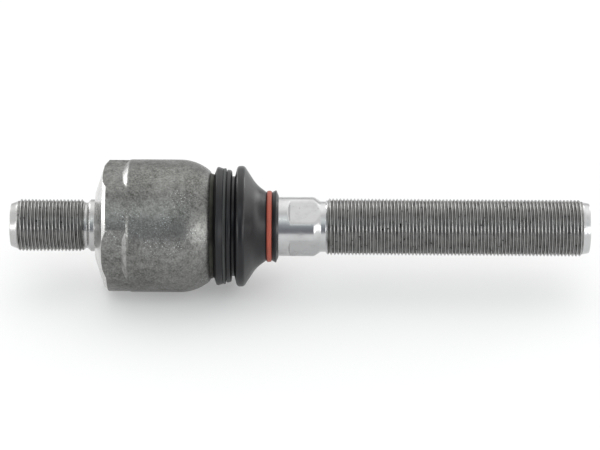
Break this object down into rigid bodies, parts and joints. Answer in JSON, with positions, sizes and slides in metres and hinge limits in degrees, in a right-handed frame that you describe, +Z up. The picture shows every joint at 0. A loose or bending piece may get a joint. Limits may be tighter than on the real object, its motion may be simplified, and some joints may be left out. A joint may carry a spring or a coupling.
{
  "type": "inner tie rod",
  "caption": "Forged ball joint cup with a short threaded stud, a sealed rubber boot and a long threaded shank that swings and turns.",
  "frame": {"origin": "centre of the turned seat face that stops the housing's short threaded stud", "axes": "+X along the shank, from the seat face towards the long thread; +Z up, square to one pair of the housing's wrench flats"},
  "size_m": [0.244, 0.056, 0.056],
  "materials": {
    "forged_steel": "dark, mottled, oiled forging skin",
    "ring_steel": "dark, streaked, pressed steel",
    "spring_steel": "plain spring steel",
    "seat_plastic": "smooth natural acetal",
    "turned_steel": "turned and rolled steel with a dark phosphate tint",
    "boot_rubber": "satin black rubber",
    "dark_ring": "dark band",
    "red_ring": "faded red elastic"
  },
  "bodies": {
    "cup": {"housing": "forged_steel", "closing_ring": "ring_steel", "preload_spring": "spring_steel"},
    "seats": {"lower_seat": "seat_plastic", "upper_seat": "seat_plastic", "boot": "boot_rubber", "boot_clamp_ring": "dark_ring"},
    "boot_neck": {"boot_tension_ring": "red_ring"},
    "shank": {"ball_pin": "turned_steel"}
  },
  "joints": [
    {"name": "seat_turn", "type": "hinge", "parent": "cup", "child": "seats", "pos_m": [0.0365, 0, 0], "axis": [1, 0, 0], "continuous": true},
    {"name": "swing", "type": "hinge", "parent": "seats", "child": "boot_neck", "pos_m": [0.0365, 0, 0], "axis": [0, 0, 1], "range_deg": [-20, 20], "deforming": ["boot"]},
    {"name": "shank_spin", "type": "hinge", "parent": "boot_neck", "child": "shank", "pos_m": [0.0365, 0, 0], "axis": [1, 0, 0], "continuous": true}
  ]
}
